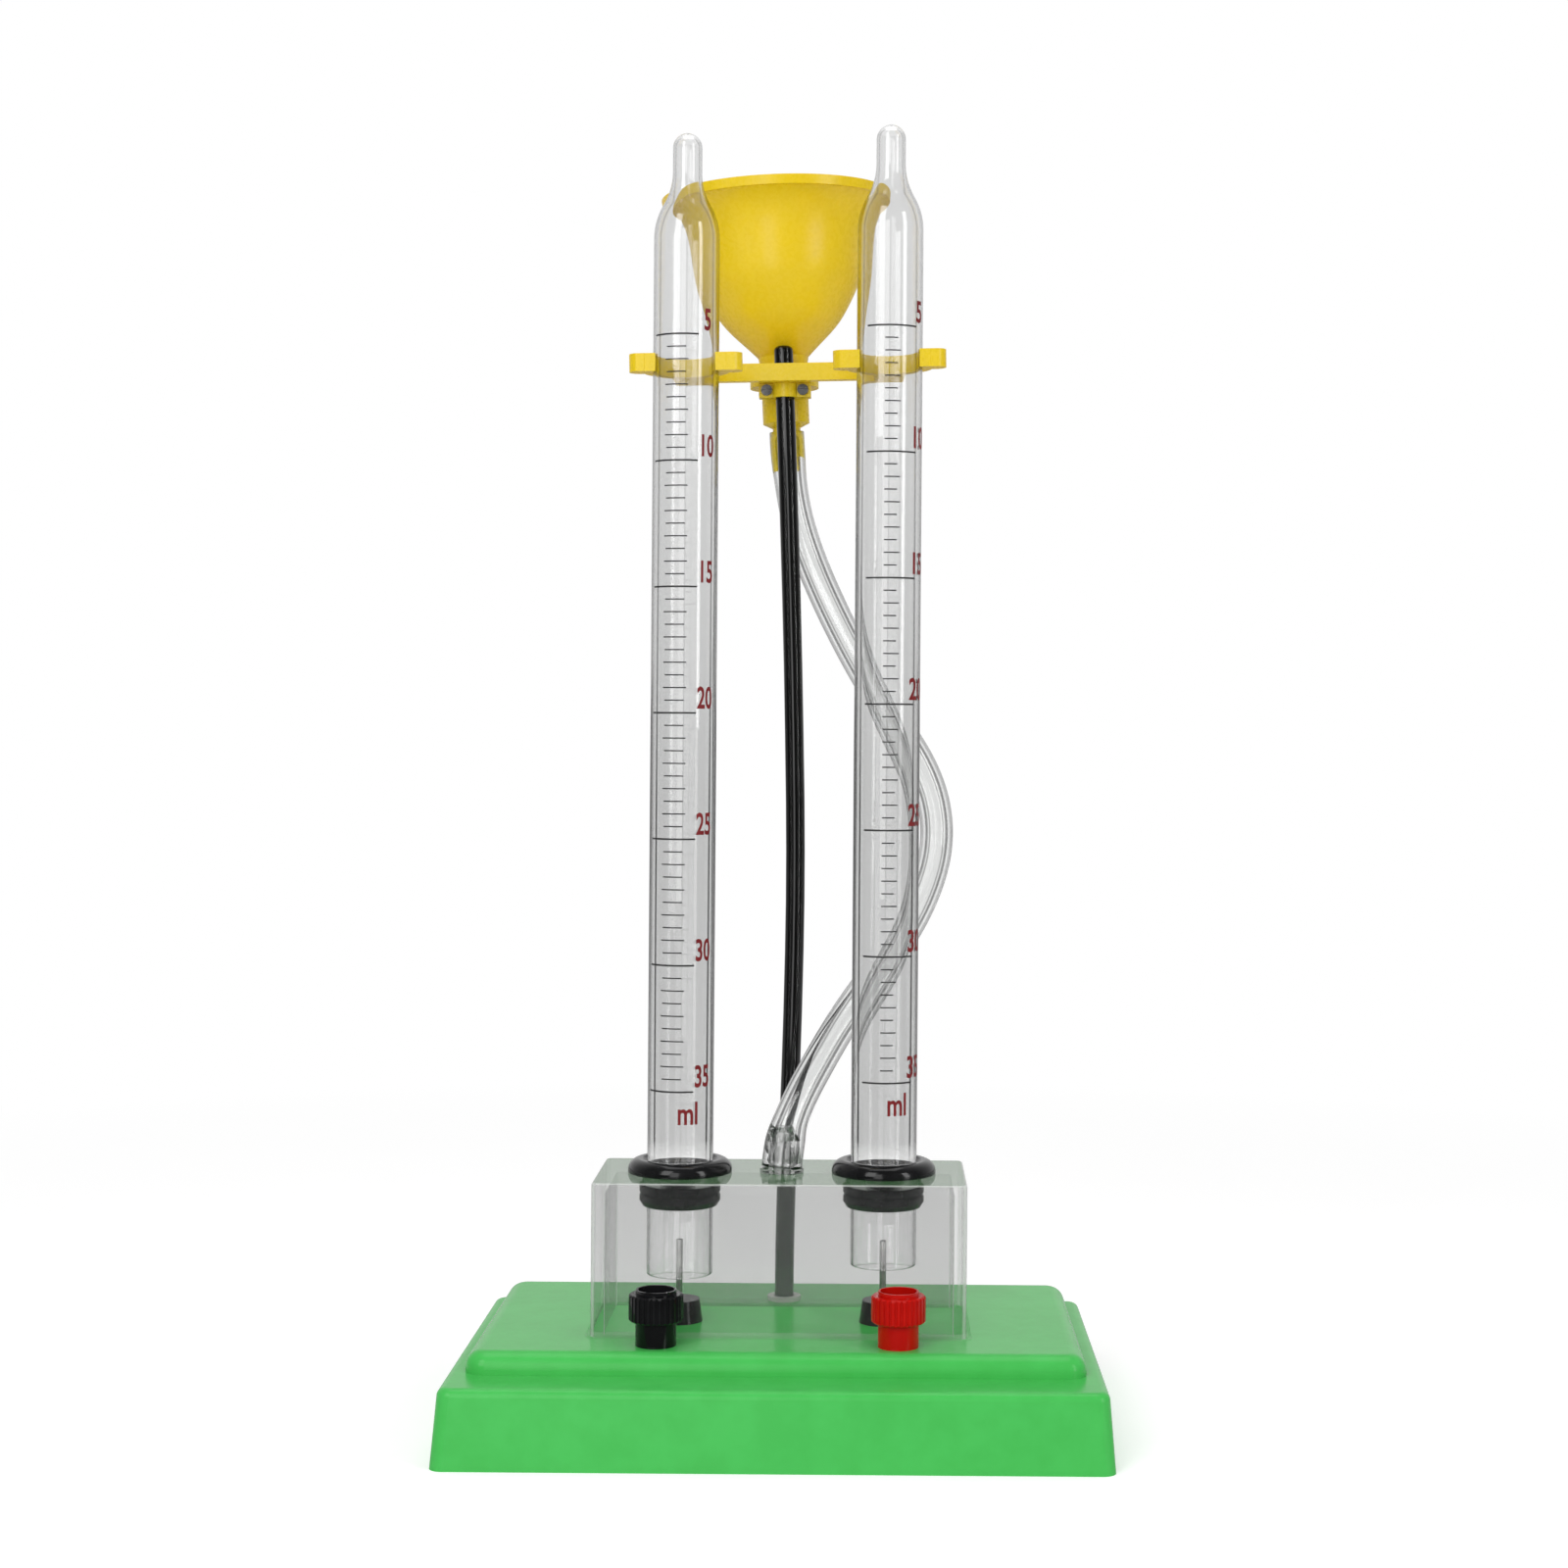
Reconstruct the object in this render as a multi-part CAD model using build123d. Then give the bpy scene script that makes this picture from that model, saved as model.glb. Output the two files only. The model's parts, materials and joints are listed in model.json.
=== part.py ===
"""Classroom water-electrolysis apparatus with two inverted gas tubes over one tank.

Millimetres, +Z up, the front faces -Y and +X is the right-hand side. The origin is the
centre of the plan outline, hose left out, on the surface that the base stands on.
"""

from build123d import *
from math import cos, pi, radians, sin, tan
import os

os.makedirs("parts", exist_ok=True)

# ---------------------------------------------------------------- driving dimensions
# Base: a drafted hollow skirt with a ledge, and a raised platform
base_width = 156.2
base_depth = 101.5
base_corner_r = 3.2
skirt_height = 18.1
skirt_draft_x = 1.4
skirt_draft_y = 2.0
skirt_edge_r = 2.0
platform_width = 145.3
platform_depth = 82.0
platform_setback = 15.5
platform_step = 5.0
platform_corner_r = 5.0
platform_edge_r = 3.9
base_wall = 2.4
front_to_tubes = 51.0

# Tank: five clear walls cemented to the platform
tank_width = 90.0
tank_depth = 37.0
tank_height = 36.7
tank_wall = 3.0
tank_corner_r = 1.6
seal_leg = 1.3

# Gas tubes: open at the bottom, drawn down to a closed tip
tube_pitch = 50.0
tube_r = 8.1
tube_glass = 0.9
tube_length = 280.0
tip_r = 3.6
tip_length = 9.5
shoulder_length = 16.5
left_tube_z = 34.7
right_tube_z = 37.2

# Rubber grommets that hold the tubes in the tank top
grommet_body_r = 9.25
grommet_lip_r = 12.75
grommet_lip_height = 3.3
grommet_skirt_r = 9.95
grommet_skirt_height = 5.2
grommet_bevel = 1.3
grommet_groove = 0.5

# Electrodes and their rubber plugs
electrode_r = 0.8
electrode_top_z = 43.9
electrode_tail = 9.0
plug_foot_r = 5.8
plug_top_r = 5.0
plug_height = 5.4
plug_spigot_r = 3.6
terminal_r = 3.0
terminal_height = 5.0

# Support rod, bowed to the right and leaning to the left at its top
seal_to_ferrule = 0.3
rod_r = 2.4
rod_top_z = 266.2
rod_top_x = -2.0
rod_bend = ((0.75, 65.0), (1.95, 112.0), (1.9, 150.0), (0.55, 202.0))
rod_shank_r = 2.0
rod_shank_length = 12.0
rod_end_r = 1.2
ferrule_r = 4.2
ferrule_height = 1.1
rod_washer_r = 5.0
rod_washer_height = 1.0
rod_nut_flats = 7.0
rod_nut_height = 3.2

# Bracket on the rod: bar, two spring clips and a ring for the funnel
bracket_z = 256.6
bracket_height = 4.4
bracket_roll = -1.4
hub_x = -1.6
bar_front = 17.8
bar_thickness = 3.2
bar_reach = 29.5
web_width = 9.0
clip_wall = 2.4
clip_mouth = 3.6
ear_r = 2.8
ear_reach = 11.1
ear_setback = 1.0
rod_to_funnel = 9.9
funnel_x = -2.0
ring_outer_r = 8.85
hub_half_width = 6.6
jaw_height = 3.6
strap_arch_wall = 0.9
strap_ear_thickness = 1.3
strap_split = 0.15
screw_spacing = 9.2
screw_shank_r = 0.9
screw_head_r = 1.4
screw_head_height = 1.0
screw_length = 5.0

# Funnel: neck and tapered stem below a bell
funnel_lean = -3.0
funnel_wall = 1.1
neck_r = 6.0
neck_end_z = 246.3
stem_root_r = 3.6
stem_tip_r = 3.0
stem_tip_z = 235.2
shoulder_r = 6.5
shoulder_z = 264.6
bowl_points = ((11.0, 269.1), (15.0, 273.4), (17.9, 278.0), (20.9, 284.6), (22.2, 291.4), (23.6, 297.5))
flare_points = ((25.3, 300.9), (28.4, 303.6))
rim_r = 29.6
rim_z = 306.0
rim_band = 2.3
rim_draft = 0.3

# Hose from the funnel stem to the barb on the tank
hose_r = 4.15
hose_bore_r = 2.75
barb_bore_r = 1.9
barb_tube_r = 3.2
barb_r = 4.1
barb_flange_r = 5.4
barb_flange_height = 1.1
barb_height = 11.0
barb_cone_height = 3.2

# Binding posts: collar, knob, hollow stud, clamp washer, nut
post_spacing = 57.2
tank_to_knobs = 0.55
collar_r = 4.85
collar_height = 5.7
knob_r = 6.45
knob_height = 6.3
knob_rib_count = 30
knob_rib_depth = 0.35
knob_rim_r = 4.8
knob_rim_height = 1.0
knob_cup_r = 4.3
knob_cup_depth = 4.0
stud_r = 3.0
stud_top_gap = 2.4
socket_r = 2.0
socket_depth = 15.0
clamp_washer_r = 4.4
clamp_washer_height = 0.6
post_nut_flats = 10.0
post_nut_height = 3.0
stud_tail = 1.5
link_thickness = 0.8
link_width = 7.6

# Fits, all radial
running_clearance = 0.05
push_clearance = 0.05
loose_clearance = 0.25
seat_gap = 0.1

# ------------------------------------------------------------------- derived places
tubes_to_rod = tank_depth / 2 + seal_leg + seal_to_ferrule + ferrule_r
tubes_to_funnel = tubes_to_rod + rod_to_funnel
rim_rear = tubes_to_funnel + rim_r
front_y = -(front_to_tubes + rim_rear) / 2
tube_y = front_y + front_to_tubes
rod_y = tube_y + tubes_to_rod
funnel_y = tube_y + tubes_to_funnel
post_y = tube_y - tank_depth / 2 - tank_to_knobs - knob_r
base_y = front_y + base_depth / 2
platform_y = front_y + platform_setback + platform_depth / 2
platform_z = skirt_height + platform_step
floor_z = platform_z - base_wall
tank_top_z = platform_z + tank_height
bracket_top_z = bracket_z + bracket_height
SIDES = {"left": -1, "right": 1}
POSTS = {"black": -1, "red": 1}
tube_x = tube_pitch / 2
post_x = post_spacing / 2


# ------------------------------------------------------------------------- helpers
def save(name, shape):
    """Write one sub-part to its own file."""
    export_step(shape, f"parts/{name}.step")


def turned(*points):
    """Solid of revolution about Z from corner points (radius, height)."""
    outline = Polyline(*[(r, z) for r, z in points], close=True)
    return revolve(Plane.XZ * make_face(outline), Axis.Z)


def turned_edges(edges):
    """Solid of revolution about Z from the edges of a closed (radius, height) outline."""
    return revolve(Plane.XZ * make_face(Curve() + edges), Axis.Z)


def post(radius, bottom_z, top_z):
    """Upright cylinder between two heights."""
    cylinder = Cylinder(radius, top_z - bottom_z, align=(Align.CENTER, Align.CENTER, Align.MIN))
    return Pos(0, 0, bottom_z) * cylinder


def ring(outer_r, inner_r, bottom_z, top_z):
    """Upright washer or sleeve."""
    return post(outer_r, bottom_z, top_z) - post(inner_r, bottom_z - 1, top_z + 1)


def hex_nut(flats, bore_r, bottom_z, top_z):
    """Hexagon nut with a plain bore."""
    prism = extrude(RegularPolygon(flats / 2, 6, major_radius=False), top_z - bottom_z)
    return Pos(0, 0, bottom_z) * prism - post(bore_r, bottom_z - 1, top_z + 1)


def block(x_low, x_high, y_low, y_high, z_low, z_high):
    """Box given by its six sides."""
    size = (x_high - x_low, y_high - y_low, z_high - z_low)
    return Pos((x_low + x_high) / 2, (y_low + y_high) / 2, (z_low + z_high) / 2) * Box(*size)


def frustum(width, depth, corner_r, draft_x, draft_y, bottom_z, top_z):
    """Rounded rectangle that narrows by a draft on each side as it rises."""
    low = Plane.XY.offset(bottom_z) * RectangleRounded(width, depth, corner_r)
    narrow = (width - 2 * draft_x, depth - 2 * draft_y)
    high = Plane.XY.offset(top_z) * RectangleRounded(*narrow, corner_r)
    return loft([low, high])


# ---------------------------------------------------------------------------- base
def skirt(inset, top_z):
    """Drafted block of the skirt, inset evenly from the outside."""
    width, depth = base_width - 2 * inset, base_depth - 2 * inset
    corner = base_corner_r - inset
    body = frustum(width, depth, corner, skirt_draft_x, skirt_draft_y, 0, top_z)
    return Pos(0, base_y, 0) * body


def platform(inset, top_z):
    """Raised block of the platform, inset evenly from the outside."""
    width, depth = platform_width - 2 * inset, platform_depth - 2 * inset
    plan = RectangleRounded(width, depth, platform_corner_r - inset)
    return Pos(0, platform_y, 0) * extrude(plan, top_z)


def top_edges(shape, height):
    """Edges of a shape that lie at one height."""
    return shape.edges().filter_by_position(Axis.Z, height - 0.01, height + 0.01)


def base_shell():
    """Hollow moulded base, open underneath, bored for what passes through it."""
    lower = skirt(0, skirt_height)
    lower = fillet(top_edges(lower, skirt_height), skirt_edge_r)
    upper = platform(0, platform_z)
    upper = fillet(top_edges(upper, platform_z), platform_edge_r)
    hollow = skirt(base_wall, skirt_height - base_wall)
    hollow += platform(base_wall, floor_z)
    shell = lower + upper - hollow
    for side in SIDES.values():
        shell -= Pos(side * tube_x, tube_y) * post(plug_spigot_r + push_clearance, 0, platform_z + 1)
        shell -= Pos(side * post_x, post_y) * post(stud_r + push_clearance, 0, platform_z + 1)
    shell -= Pos(0, rod_y) * post(rod_shank_r + push_clearance, 0, platform_z + 1)
    return shell


# ---------------------------------------------------------------------------- tank
def tank_body():
    """Clear box, open at the bottom, with two grommet holes and the barb hole on top."""
    plan = RectangleRounded(tank_width, tank_depth, tank_corner_r)
    inner = RectangleRounded(
        tank_width - 2 * tank_wall, tank_depth - 2 * tank_wall, tank_corner_r / 4
    )
    body = Pos(0, tube_y, platform_z) * extrude(plan, tank_height)
    body -= Pos(0, tube_y, platform_z - 1) * extrude(inner, tank_height - tank_wall + 1)
    edge_r = tank_wall / 5
    body = fillet(top_edges(body, tank_top_z), edge_r)
    hole_r = grommet_body_r + push_clearance
    for side in SIDES.values():
        body -= Pos(side * tube_x, tube_y) * post(hole_r, platform_z, tank_top_z + 1)
    body -= Pos(0, tube_y) * post(barb_tube_r + push_clearance, platform_z, tank_top_z + 1)
    return body


def tank_seal():
    """Bead of cement around the foot of the tank."""
    wide = (tank_width + 2 * seal_leg, tank_depth + 2 * seal_leg)
    bead = frustum(*wide, tank_corner_r + seal_leg, seal_leg * 0.8, seal_leg * 0.8, 0, seal_leg)
    bead -= Pos(0, 0, -1) * extrude(RectangleRounded(tank_width, tank_depth, tank_corner_r), seal_leg + 2)
    return Pos(0, tube_y, platform_z) * bead


def grommet(side):
    """Rubber grommet: rounded lip above the plate, body in the hole, bevelled skirt below."""
    plate_low = tank_top_z - tank_wall
    low = plate_low - grommet_skirt_height
    groove_z = plate_low - grommet_skirt_height * 0.42
    bore_r = tube_r + running_clearance
    lip_top_z = tank_top_z + grommet_lip_height
    lip_top_r = grommet_lip_r - grommet_lip_height * 0.75
    lip_side = (grommet_lip_r - grommet_lip_height * 0.12, tank_top_z + grommet_lip_height * 0.6)
    lip_inner_z = lip_top_z - grommet_lip_height * 0.3
    edges = [
        Polyline(
            (bore_r, lip_inner_z),
            (bore_r, low),
            (grommet_skirt_r - grommet_bevel * 0.6, low),
            (grommet_skirt_r, low + grommet_bevel),
            (grommet_skirt_r, groove_z - grommet_groove),
            (grommet_skirt_r - grommet_groove, groove_z),
            (grommet_skirt_r, groove_z + grommet_groove),
            (grommet_skirt_r, plate_low),
            (grommet_body_r, plate_low),
            (grommet_body_r, tank_top_z),
            (grommet_lip_r, tank_top_z),
        ),
        ThreePointArc((grommet_lip_r, tank_top_z), lip_side, (lip_top_r, lip_top_z)),
        Polyline((lip_top_r, lip_top_z), (grommet_body_r, lip_top_z), (bore_r, lip_inner_z)),
    ]
    return Pos(side * tube_x, tube_y) * turned_edges(edges)


# ----------------------------------------------------------------------- gas tubes
def tube_outline(inset, bottom_z, top_z):
    """Filled outline of a tube, inset by its glass, as a solid of revolution."""
    body_r, end_r = tube_r - inset, tip_r - inset
    tip_low = top_z - tip_length
    shoulder_low = tip_low - shoulder_length
    middle = ((body_r + end_r) / 2, (shoulder_low + tip_low) / 2)
    dome_z = top_z - inset - end_r
    bend = TangentArc((body_r, shoulder_low), middle, tangent=(0, 1))
    edges = [
        Polyline((0, dome_z + end_r), (0, bottom_z), (body_r, bottom_z), (body_r, shoulder_low)),
        bend,
        TangentArc(middle, (end_r, tip_low), tangent=bend % 1),
        Line((end_r, tip_low), (end_r, dome_z)),
        ThreePointArc(
            (end_r, dome_z),
            (end_r * cos(pi / 4), dome_z + end_r * sin(pi / 4)),
            (0, dome_z + end_r),
        ),
    ]
    return turned_edges(edges)


def gas_tube(side, bottom_z):
    """Glass tube with an open foot and a closed tip."""
    top_z = bottom_z + tube_length
    glass = tube_outline(0, bottom_z, top_z) - tube_outline(tube_glass, bottom_z - 1, top_z)
    return Pos(side * tube_x, tube_y) * glass


# ---------------------------------------------------------------------- electrodes
def plug(side):
    """Tapered rubber plug with a spigot through the platform."""
    body = turned(
        (electrode_r + push_clearance, floor_z),
        (plug_spigot_r, floor_z),
        (plug_spigot_r, platform_z),
        (plug_foot_r, platform_z),
        (plug_top_r, platform_z + plug_height),
        (electrode_r + push_clearance, platform_z + plug_height),
    )
    return Pos(side * tube_x, tube_y) * body


def electrode(side):
    """Steel rod that stands in the mouth of its tube and ends in the terminal below."""
    rod = post(electrode_r, floor_z - electrode_tail, electrode_top_z)
    rod = chamfer(top_edges(rod, electrode_top_z), electrode_r / 4)
    return Pos(side * tube_x, tube_y) * rod


def terminal(side):
    """Brass collar pressed on the tail of the electrode, under the link."""
    top_z = floor_z - link_thickness
    body = ring(terminal_r, electrode_r + push_clearance, top_z - terminal_height, top_z)
    return Pos(side * tube_x, tube_y) * body


def link(side):
    """Brass strip inside the base, from a binding post to its electrode."""
    start = Vector(side * post_x, post_y)
    end = Vector(side * tube_x, tube_y)
    plan = SlotCenterToCenter((end - start).length, link_width)
    angle = (end - start).get_signed_angle(Vector(1, 0, 0), Vector(0, 0, -1))
    middle = (start + end) * 0.5
    strip = Pos(middle.X, middle.Y, floor_z - link_thickness) * Rot(0, 0, angle)
    strip = strip * extrude(plan, link_thickness)
    strip -= Pos(start.X, start.Y) * post(stud_r + push_clearance, 0, platform_z)
    strip -= Pos(end.X, end.Y) * post(electrode_r + push_clearance, 0, platform_z)
    return strip


# ------------------------------------------------------------------ rod and its foot
def rod_path():
    """Centre line of the rod: upright at its foot, then arcs through the bend's points."""
    stops = [(0, platform_z), *rod_bend, (rod_top_x, rod_top_z)]
    edges, tangent = [], (0, 0, 1)
    for start, end in zip(stops, stops[1:]):
        arc = TangentArc((start[0], rod_y, start[1]), (end[0], rod_y, end[1]), tangent=tangent)
        tangent = arc % 1
        edges.append(arc)
    return Wire(edges)


def support_rod():
    """Bowed rod with a rounded top and a thinner shank through the platform."""
    path = rod_path()
    rod = sweep(Plane((0, rod_y, platform_z)) * Circle(rod_r), path)
    rod = fillet(rod.edges().group_by(Axis.Z)[-1], rod_end_r)
    rod += Pos(0, rod_y) * post(rod_shank_r, platform_z - rod_shank_length, platform_z)
    return rod


def rod_ferrule():
    """Pale collar around the foot of the rod."""
    return Pos(0, rod_y) * ring(
        ferrule_r, rod_r + loose_clearance, platform_z, platform_z + ferrule_height
    )


def rod_washer():
    """Washer under the platform."""
    low = floor_z - rod_washer_height
    return Pos(0, rod_y) * ring(rod_washer_r, rod_shank_r + push_clearance, low, floor_z)


def rod_nut():
    """Nut that pulls the rod's foot down."""
    top_z = floor_z - rod_washer_height
    nut = hex_nut(rod_nut_flats, rod_shank_r + push_clearance, top_z - rod_nut_height, top_z)
    return Pos(0, rod_y) * nut


# ------------------------------------------------------------------------- bracket
def clip_plan(side):
    """Plan of one spring clip: a forward-opening C with a rounded ear on each arm."""
    bore_r = tube_r + running_clearance
    arms = Circle(bore_r + clip_wall)
    mouth = Pos(0, -clip_mouth - 20) * Rectangle(60, 40)
    ears = Pos(-ear_reach, -ear_setback) * Circle(ear_r) + Pos(ear_reach, -ear_setback) * Circle(ear_r)
    plan = arms + ears - mouth - Circle(bore_r)
    return Pos(side * tube_x, tube_y) * plan


def rolled(shape):
    """Roll a piece with the bracket, about the middle of its hub."""
    middle_z = bracket_z + bracket_height / 2
    place = Pos(hub_x, 0, middle_z) * Rot(0, bracket_roll, 0)
    return place * Pos(-hub_x, 0, -middle_z) * shape


def bracket():
    """Moulded bracket: bar, clips on webs, hub on the rod and ring for the funnel neck."""
    low_y = tube_y + bar_front
    plan = Pos(0, low_y + bar_thickness / 2) * RectangleRounded(
        2 * bar_reach, bar_thickness, bar_thickness / 3
    )
    clip_rear = tube_y + tube_r
    for side in SIDES.values():
        plan += clip_plan(side)
        web_depth = low_y + bar_thickness / 2 - clip_rear
        plan += Pos(side * tube_x, clip_rear + web_depth / 2) * Rectangle(web_width, web_depth)
    plan += Pos(hub_x, (low_y + funnel_y) / 2) * Rectangle(2 * hub_half_width, funnel_y - low_y)
    plan += Pos(funnel_x, funnel_y) * Circle(ring_outer_r)
    plan -= Pos(funnel_x, funnel_y) * Circle(neck_r + loose_clearance)
    body = Pos(0, 0, bracket_z) * extrude(plan, bracket_height)
    jaw_rear = funnel_y - neck_r - loose_clearance - 0.8
    jaw_sides = (hub_x - hub_half_width, hub_x + hub_half_width)
    body += block(*jaw_sides, rod_y, jaw_rear, bracket_z - jaw_height, bracket_z)
    rod_hole = post(rod_r + seat_gap, bracket_z - jaw_height - 1, bracket_top_z + 1)
    body -= Pos(hub_x, rod_y) * rod_hole
    for side in SIDES.values():
        body -= screw_hole(side)
    body = rolled(body)
    for side in SIDES.values():
        bore = post(tube_r + running_clearance, bracket_z - 5, bracket_top_z + 5)
        body -= Pos(side * tube_x, tube_y) * bore
    return body


def screw_place(side):
    """Frame on a strap screw's axis, with its Z towards the front."""
    height = bracket_z - jaw_height / 2
    return Pos(hub_x + side * screw_spacing / 2, rod_y, height) * Rot(90, 0, 0)


def screw_hole(side):
    """Hole for a strap screw, through the strap's ear and into the jaw."""
    hole = Cylinder(screw_shank_r + push_clearance, 2 * screw_length)
    return screw_place(side) * hole


def rod_strap():
    """Arched strap that holds the rod in the jaw."""
    arch = Circle(rod_r + seat_gap + strap_arch_wall)
    arch &= Pos(0, -10) * Rectangle(40, 20)
    ear_y = -strap_split - strap_ear_thickness / 2
    arch += Pos(0, ear_y) * Rectangle(2 * hub_half_width, strap_ear_thickness)
    arch -= Pos(0, 10 - strap_split) * Rectangle(40, 20)
    arch -= Circle(rod_r + seat_gap)
    low = bracket_z - jaw_height
    strap = Pos(hub_x, rod_y, low) * extrude(arch, jaw_height - seat_gap)
    for side in SIDES.values():
        strap -= screw_hole(side)
    return rolled(strap)


def strap_screws():
    """The two screws of the strap, heads to the front."""
    head_z = strap_split + strap_ear_thickness
    group = []
    for side in SIDES.values():
        shank = post(screw_shank_r, head_z - screw_length, head_z)
        head = post(screw_head_r, head_z, head_z + screw_head_height)
        slot = Pos(0, 0, head_z + screw_head_height) * Box(4 * screw_head_r, 0.4, 0.8)
        group.append(rolled(screw_place(side) * (shank + head - slot)))
    return Compound(group)


# -------------------------------------------------------------------------- funnel
def funnel_solid(inset, low_z, high_z):
    """Filled funnel shape, thinner by an inset: stem, neck, bell, flare and rim band."""
    bell = [(shoulder_r, shoulder_z), *bowl_points, *flare_points]
    rise = inset * 0.6
    curve = Spline([(r - inset * 0.85, z + rise) for r, z in bell])
    start = curve @ 0
    rim_low = (rim_r - rim_draft - inset, max(rim_z - rim_band, bell[-1][1]) + rise)
    stem_low_r, stem_high_r = stem_tip_r - inset, stem_root_r - inset
    edges = [
        Polyline(
            (0, high_z),
            (0, low_z),
            (stem_low_r, low_z),
            (stem_high_r, neck_end_z + inset),
            (neck_r - inset, neck_end_z + inset + 1.2),
            (neck_r - inset, bracket_top_z + 0.4),
            (start.X, start.Y),
        ),
        curve,
        Polyline(curve @ 1, rim_low, (rim_r - inset, high_z), (0, high_z)),
    ]
    return turned_edges(edges)


def lean(shape):
    """Tip the funnel about the middle of its ring, and set it over the ring."""
    pivot_z = bracket_z + bracket_height / 2
    place = Pos(funnel_x, funnel_y, pivot_z) * Rot(0, funnel_lean, 0)
    return place * Pos(0, 0, -pivot_z) * shape


def funnel():
    """Bell funnel with a neck that drops through the ring and a stem for the hose."""
    outside = funnel_solid(0, stem_tip_z, rim_z)
    inside = funnel_solid(funnel_wall, stem_tip_z - 1, rim_z + 1)
    return lean(outside - inside)


# ---------------------------------------------------------------------------- hose
HOSE_POINTS = (
    (-1.3, 34.2, 245.3),
    (-0.6, 34.2, 231.5),
    (4.0, 32.6, 214.0),
    (14.2, 28.6, 192.0),
    (26.3, 25.2, 171.5),
    (36.4, 23.8, 155.5),
    (38.8, 23.2, 140.0),
    (34.3, 22.6, 124.5),
    (25.0, 20.8, 109.5),
    (15.3, 15.6, 96.5),
    (8.6, 8.8, 85.5),
    (3.3, 3.2, 75.8),
    (0.5, 0.5, 67.6),
    (0.0, 0.0, 61.0),
)


def hose_radii(points):
    """Largest bend at each corner of the hose's route that its two runs allow."""
    radii = []
    for before, here, after in zip(points, points[1:], points[2:]):
        run_in, run_out = here - before, after - here
        half_turn = radians(run_in.get_angle(run_out)) / 2
        radii.append(0.45 * min(run_in.length, run_out.length) / tan(half_turn))
    return radii


def hose():
    """Clear hose, as a hollow tube along straight runs and tangent arcs."""
    points = [Vector(x, tube_y + y, z) for x, y, z in HOSE_POINTS]
    radii = hose_radii(points)
    print("hose radii", [round(r, 1) for r in radii])
    path = FilletPolyline(*points, radius=radii)
    start = Plane(path @ 0, z_dir=path % 0)
    tube = sweep(start * Circle(hose_r), path) - sweep(start * Circle(hose_bore_r), path)
    section = pi * (hose_r**2 - hose_bore_r**2)
    print("hose length", round(path.length, 1), "volume ratio", round(tube.volume / path.length / section, 4))
    return tube


def hose_barb():
    """Barbed connector set in the tank top."""
    foot = tank_top_z - tank_wall
    flange = tank_top_z + barb_flange_height
    tip = tank_top_z + barb_height
    cone = tip - barb_cone_height
    body = turned(
        (barb_bore_r, foot),
        (barb_tube_r, foot),
        (barb_tube_r, tank_top_z),
        (barb_flange_r, tank_top_z),
        (barb_flange_r, flange),
        (barb_tube_r, flange),
        (barb_tube_r, cone),
        (barb_r, cone),
        (barb_bore_r + 0.8, tip),
        (barb_bore_r, tip),
    )
    return Pos(0, tube_y) * body


# ------------------------------------------------------------------- binding posts
knob_low = platform_z + collar_height + seat_gap
knob_top = knob_low + knob_height
rim_top = knob_top + knob_rim_height
stud_top = rim_top - stud_top_gap


def collar(side):
    """Fixed collar between the platform and the knob."""
    body = ring(collar_r, stud_r + push_clearance, platform_z, platform_z + collar_height)
    return Pos(side * post_x, post_y) * body


def stud(side):
    """Hollow metal stud with a socket for a 4 mm plug, nut thread below."""
    low = floor_z - link_thickness - post_nut_height - stud_tail
    body = post(stud_r, low, stud_top) - post(socket_r, stud_top - socket_depth, stud_top + 1)
    return Pos(side * post_x, post_y) * body


def clamp_washer(side):
    """Metal washer carried in the underside of the knob."""
    bore_r = stud_r + running_clearance
    body = ring(clamp_washer_r, bore_r, knob_low, knob_low + clamp_washer_height)
    return Pos(side * post_x, post_y) * body


def knob(side):
    """Ribbed knob with a hollow top, screwed on the stud."""
    body = post(knob_r, knob_low, knob_top)
    body = chamfer(body.edges().filter_by(GeomType.CIRCLE), 0.4)
    body += post(knob_rim_r, knob_top - 1, rim_top)
    for index in range(knob_rib_count):
        angle = 360 * index / knob_rib_count
        groove = Pos(knob_r, 0, 0) * post(knob_rib_depth, knob_low - 1, knob_top + 0.1)
        body -= Rot(0, 0, angle) * groove
    body -= post(knob_cup_r, rim_top - knob_cup_depth, rim_top + 1)
    body -= post(stud_r + running_clearance, knob_low - 1, rim_top)
    recess = clamp_washer_height + seat_gap
    body -= post(clamp_washer_r + loose_clearance, knob_low - 1, knob_low + recess)
    return Pos(side * post_x, post_y) * body


def post_nut(side):
    """Nut under the platform that clamps the stud and its link."""
    top_z = floor_z - link_thickness
    nut = hex_nut(post_nut_flats, stud_r + push_clearance, top_z - post_nut_height, top_z)
    return Pos(side * post_x, post_y) * nut


# --------------------------------------------------------------------------- build
save("base_shell", base_shell())
save("tank_body", tank_body())
save("tank_seal", tank_seal())
save("left_tube", gas_tube(SIDES["left"], left_tube_z))
save("right_tube", gas_tube(SIDES["right"], right_tube_z))
for name, side in SIDES.items():
    save(f"{name}_grommet", grommet(side))
    save(f"{name}_plug", plug(side))
    save(f"{name}_electrode", electrode(side))
    save(f"{name}_terminal", terminal(side))
    save(f"{name}_link", link(side))
save("support_rod", support_rod())
save("rod_ferrule", rod_ferrule())
save("rod_washer", rod_washer())
save("rod_nut", rod_nut())
save("bracket", bracket())
save("rod_strap", rod_strap())
save("strap_screws", strap_screws())
save("funnel", funnel())
save("hose", hose())
save("hose_barb", hose_barb())
for name, side in POSTS.items():
    save(f"{name}_collar", collar(side))
    save(f"{name}_stud", stud(side))
    save(f"{name}_washer", clamp_washer(side))
    save(f"{name}_knob", knob(side))
    save(f"{name}_post_nut", post_nut(side))
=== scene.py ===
"""Looks of the classroom water-electrolysis apparatus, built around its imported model."""

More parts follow.
